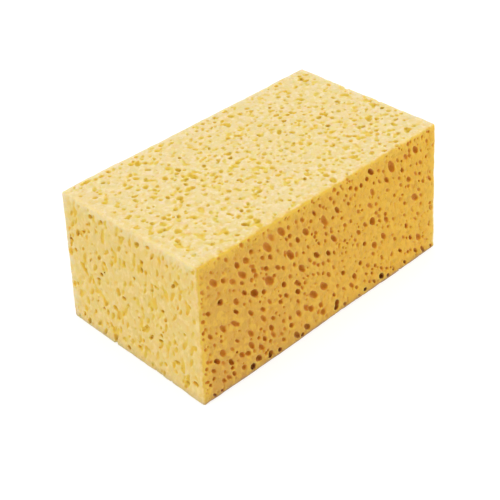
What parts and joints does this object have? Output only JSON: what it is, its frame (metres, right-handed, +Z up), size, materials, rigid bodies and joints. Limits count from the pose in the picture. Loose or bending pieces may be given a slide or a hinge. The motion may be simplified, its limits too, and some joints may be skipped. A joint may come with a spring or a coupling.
{
  "type": "tiler's sponge",
  "caption": "Rectangular yellow cellulose sponge block for washing grout from tiles, with open pores in every face.",
  "frame": {"origin": "middle of the broad underside that the block stands on", "axes": "+X along the length, +Z up through the height, front long side at -Y"},
  "size_m": [0.18, 0.1, 0.082],
  "materials": {
    "sponge": "matte"
  },
  "bodies": {
    "root": {"sponge_block": "sponge"}
  },
  "joints": []
}
